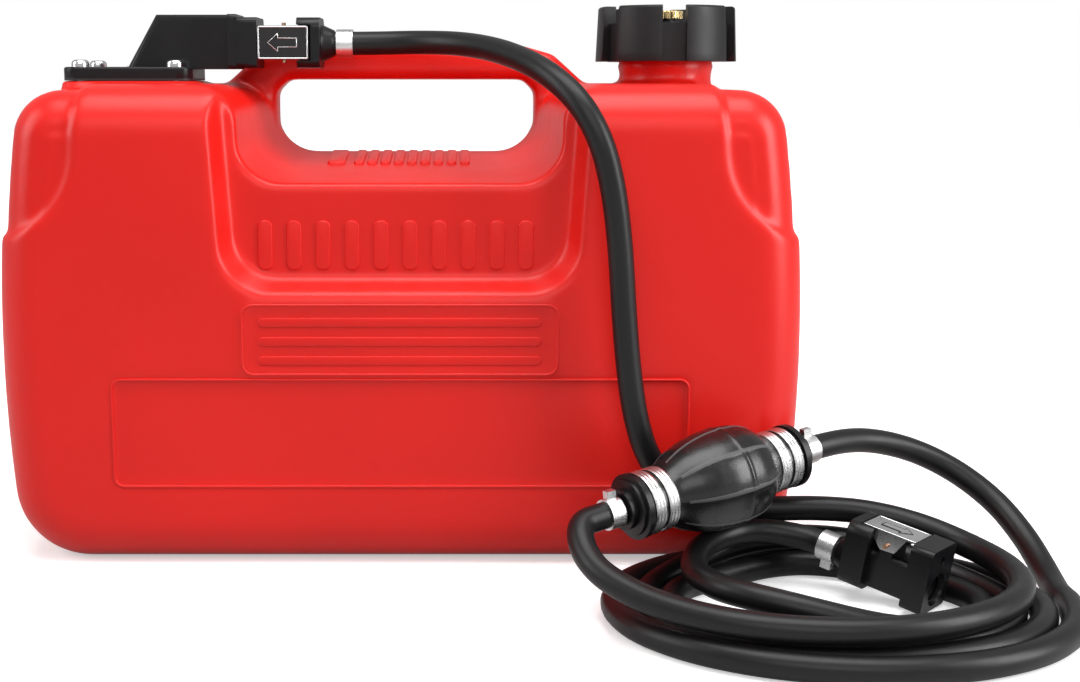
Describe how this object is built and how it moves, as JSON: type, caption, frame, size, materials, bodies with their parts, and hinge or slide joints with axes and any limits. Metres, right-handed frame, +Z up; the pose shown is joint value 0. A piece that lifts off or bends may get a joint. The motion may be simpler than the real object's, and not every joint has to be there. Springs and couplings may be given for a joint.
{
  "type": "outboard fuel tank",
  "caption": "Portable outboard fuel tank with carry handle, vented screw cap, pickup fitting, primer bulb and a coiled fuel hose with quick connectors.",
  "frame": {"origin": "centre of the tank's resting face on the floor, without the loose fuel line", "axes": "+X from the pickup fitting towards the filler cap, +Y from the long face with the coiled hose towards the plain long face, +Z up"},
  "size_m": [0.4829, 0.3507, 0.262],
  "materials": {
    "tank_red": "satin",
    "cap_black": "satin",
    "seal_rubber": "matte",
    "brass": "polished",
    "fitting_black": "satin",
    "screw_steel": "polished",
    "tube_white": "matte",
    "ball_steel": "polished",
    "latch_black": "satin",
    "copper": "polished",
    "clamp_steel": "satin",
    "bulb_rubber": "satin",
    "band_black": "satin",
    "hose_rubber": "satin"
  },
  "bodies": {
    "tank": {"tank_body": "tank_red", "pickup_gasket": "seal_rubber", "pickup_housing": "fitting_black", "outlet_spigot": "fitting_black", "pickup_screws": "screw_steel", "pickup_tube": "tube_white", "pickup_strainer": "tube_white", "tank_connector_body": "fitting_black", "tank_connector_seal": "seal_rubber", "tank_check_ball": "ball_steel", "tank_ball_spring": "ball_steel", "tank_latch_pin": "copper", "tank_latch_spring": "ball_steel", "tank_hose_clamp": "clamp_steel", "engine_connector_body": "fitting_black", "engine_connector_seal": "seal_rubber", "engine_ball_spring": "ball_steel", "engine_latch_pin": "copper", "engine_latch_spring": "ball_steel", "engine_hose_clamp": "clamp_steel", "primer_bulb": "bulb_rubber", "bulb_inlet_fitting": "fitting_black", "bulb_inlet_bands": "band_black", "bulb_inlet_valve": "tube_white", "bulb_inlet_clamp": "clamp_steel", "bulb_outlet_fitting": "fitting_black", "bulb_outlet_bands": "band_black", "bulb_outlet_valve": "tube_white", "bulb_outlet_clamp": "clamp_steel", "tank_hose": "hose_rubber", "engine_hose_lead": "hose_rubber", "engine_hose_coil": "hose_rubber", "engine_hose_tail": "hose_rubber"},
    "cap_seat": {"cap_gasket": "seal_rubber"},
    "cap": {"filler_cap": "cap_black"},
    "vent_seat": {"vent_seal": "seal_rubber"},
    "vent": {"vent_screw": "brass"},
    "tank_latch": {"tank_latch": "latch_black"},
    "engine_latch": {"engine_latch": "latch_black"},
    "engine_ball": {"engine_check_ball": "ball_steel"}
  },
  "joints": [
    {"name": "cap_lift", "type": "slide", "parent": "tank", "child": "cap_seat", "axis": [0, 0, 1], "range_m": [0, 0.00801]},
    {"name": "cap_turn", "type": "hinge", "parent": "cap_seat", "child": "cap", "pos_m": [0.132, 0, 0.25], "axis": [0, 0, 1], "range_deg": [0, 720]},
    {"name": "vent_lift", "type": "slide", "parent": "cap", "child": "vent_seat", "axis": [0, 0, 1], "range_m": [0, 0.00201]},
    {"name": "vent_turn", "type": "hinge", "parent": "vent_seat", "child": "vent", "pos_m": [0.132, 0, 0.257], "axis": [0, 0, 1], "range_deg": [0, 720]},
    {"name": "tank_latch_press", "type": "hinge", "parent": "tank", "child": "tank_latch", "pos_m": [-0.05748, -0.0395, 0.2435], "axis": [0, 0, 1], "range_deg": [0, 8], "stiffness_Nm_per_rad": 0.05, "deforming": ["tank_latch_spring"]},
    {"name": "engine_latch_press", "type": "hinge", "parent": "tank", "child": "engine_latch", "pos_m": [0.21665, -0.152, 0.0278], "axis": [-0.6561, -0.7547, 0], "range_deg": [0, 8], "stiffness_Nm_per_rad": 0.05, "deforming": ["engine_latch_spring"]},
    {"name": "engine_ball_push", "type": "slide", "parent": "tank", "child": "engine_ball", "axis": [-0.7432, 0.6461, 0.1736], "range_m": [0, 0.003], "stiffness_N_per_m": 200, "deforming": ["engine_ball_spring"]}
  ],
  "couplings": [
    {"joint": "cap_lift", "follows": "cap_turn", "m_per_rad": 0.00063661},
    {"joint": "vent_lift", "follows": "vent_turn", "m_per_rad": 0.00015915}
  ]
}
